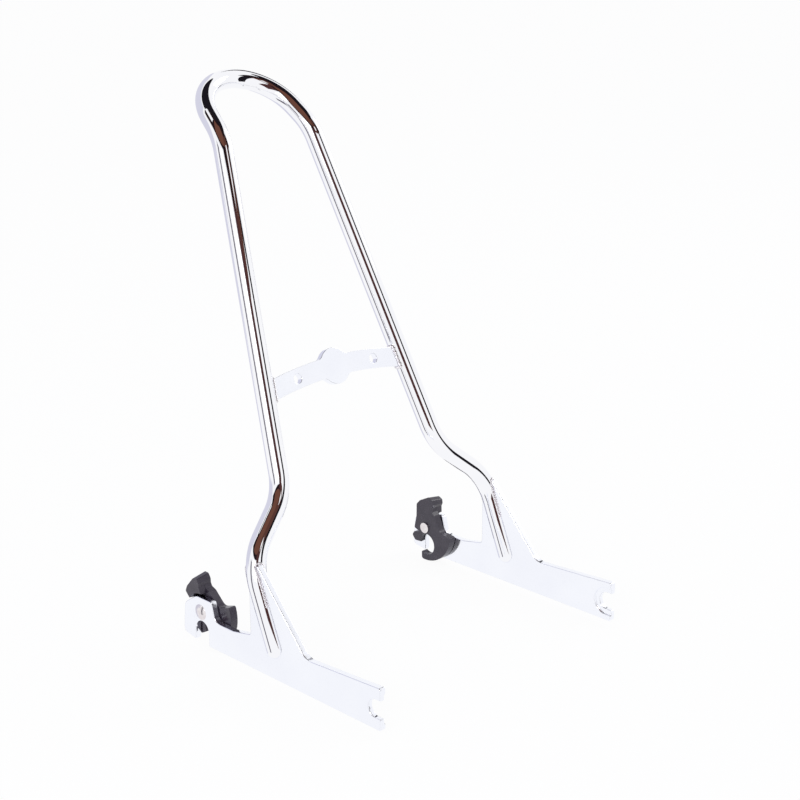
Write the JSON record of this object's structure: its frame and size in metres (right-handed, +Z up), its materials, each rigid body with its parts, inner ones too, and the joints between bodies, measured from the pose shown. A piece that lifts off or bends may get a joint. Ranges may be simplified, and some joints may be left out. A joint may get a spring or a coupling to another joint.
{
  "type": "sissy bar",
  "caption": "Detachable motorbike sissy bar: a bent chrome bar on slotted side plates, with a cross plate for a backrest pad and a rotary latch at each docking notch.",
  "frame": {"origin": "middle of the bounding box's underside: half way along the length, between the two side plates, at the lowest point of the closed left latch's jaw", "axes": "+X forward on the bike, towards the front notches; +Y to the left; +Z up"},
  "size_m": [0.3853, 0.3326, 0.5243],
  "materials": {
    "chrome_bar": "polished",
    "chrome_plate": "polished",
    "chrome_weld": "satin",
    "latch_black": "satin",
    "rivet_steel": "semi-polished",
    "washer_steel": "plain"
  },
  "bodies": {
    "frame": {"bent_bar": "chrome_bar", "side_plate_left": "chrome_plate", "side_plate_right": "chrome_plate", "cross_plate": "chrome_plate", "plate_weld_left": "chrome_weld", "plate_weld_right": "chrome_weld", "cross_plate_weld_left": "chrome_weld", "cross_plate_weld_right": "chrome_weld", "latch_rivet_left": "rivet_steel", "latch_rivet_right": "rivet_steel", "latch_washer_left": "washer_steel", "latch_washer_right": "washer_steel"},
    "latch_left": {"latch_left": "latch_black"},
    "latch_right": {"latch_right": "latch_black"}
  },
  "joints": [
    {"name": "latch_left_pivot", "type": "hinge", "parent": "frame", "child": "latch_left", "pos_m": [-0.05354, 0.149, 0.0368], "axis": [0, -1, 0], "range_deg": [0, 25]},
    {"name": "latch_right_pivot", "type": "hinge", "parent": "frame", "child": "latch_right", "pos_m": [-0.05354, -0.149, 0.0368], "axis": [0, -1, 0], "range_deg": [-25, 0]}
  ]
}
